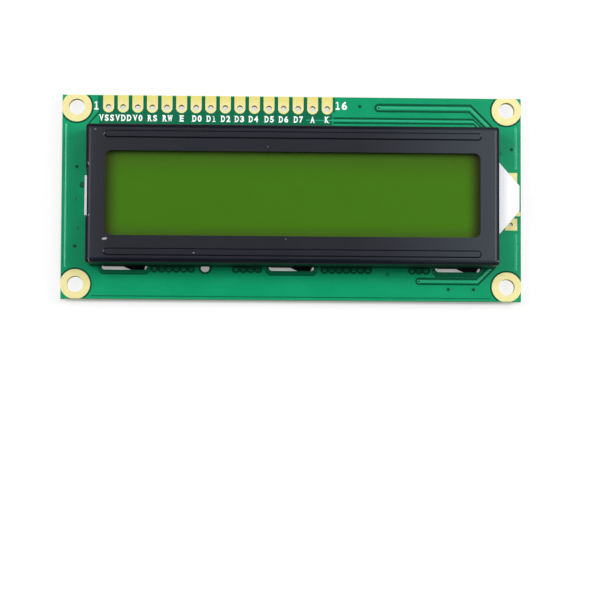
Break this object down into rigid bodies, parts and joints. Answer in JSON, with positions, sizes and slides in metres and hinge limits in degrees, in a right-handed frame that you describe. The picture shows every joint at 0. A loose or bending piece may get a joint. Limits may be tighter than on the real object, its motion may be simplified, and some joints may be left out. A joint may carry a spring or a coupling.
{
  "type": "character lcd module",
  "caption": "Two-line character display module: green circuit board with a black metal bezel round a yellow-green glass window, header pads along one edge and resin-covered chips on the back.",
  "frame": {"origin": "centre of the rectangle of mounting holes, on the back face of the circuit board", "axes": "+Z out of the display towards the reader, +Y towards the edge with the header pads, +X from header pad 1 to the last header pad"},
  "size_m": [0.08, 0.0356, 0.0108],
  "materials": {
    "board": "satin solder mask over glass-fibre laminate",
    "gold": "thin gold plating",
    "tin": "bright tin and solder",
    "bezel": "satin black paint on steel sheet",
    "glass": "clear display glass",
    "polarizer": "satin yellow-green film",
    "seal": "cured sealant",
    "rubber": "layered conductive rubber",
    "white_plastic": "milky moulded plastic",
    "film": "white film",
    "resin": "poured black resin",
    "chip": "black-coated ceramic"
  },
  "bodies": {
    "root": {"backlight_lamp": "white_plastic", "backlight_wire_pads": "gold", "bezel": "bezel", "capacitor_lands": "gold", "circuit_board": "board", "clip_lands": "gold", "contact_pads": "gold", "controller_resin_dome": "resin", "diffuser_film": "film", "driver_lands": "gold", "driver_resin_dome": "resin", "front_glass": "glass", "front_polarizer": "polarizer", "glass_seal": "seal", "header_pads": "gold", "jumper_lands": "gold", "jumper_solder": "tin", "lamp_lead_1": "tin", "lamp_lead_2": "tin", "lamp_solder": "tin", "led_lands": "gold", "light_guide": "white_plastic", "lower_rubber_strip": "rubber", "mounting_hole_lands": "gold", "rear_glass": "glass", "rear_polarizer": "polarizer", "reflector_film": "film", "resistor_1": "chip", "resistor_1_end_caps": "tin", "resistor_2": "chip", "resistor_2_end_caps": "tin", "resistor_3": "chip", "resistor_3_end_caps": "tin", "resistor_4": "chip", "resistor_4_end_caps": "tin", "resistor_5": "chip", "resistor_5_end_caps": "tin", "resistor_6": "chip", "resistor_6_end_caps": "tin", "resistor_7": "chip", "resistor_7_end_caps": "tin", "resistor_8": "chip", "resistor_8_end_caps": "tin", "resistor_9": "chip", "resistor_9_end_caps": "tin", "resistor_lands": "tin", "resistor_solder": "tin", "tongue_cover_film": "film", "upper_rubber_strip": "rubber"}
  },
  "joints": []
}
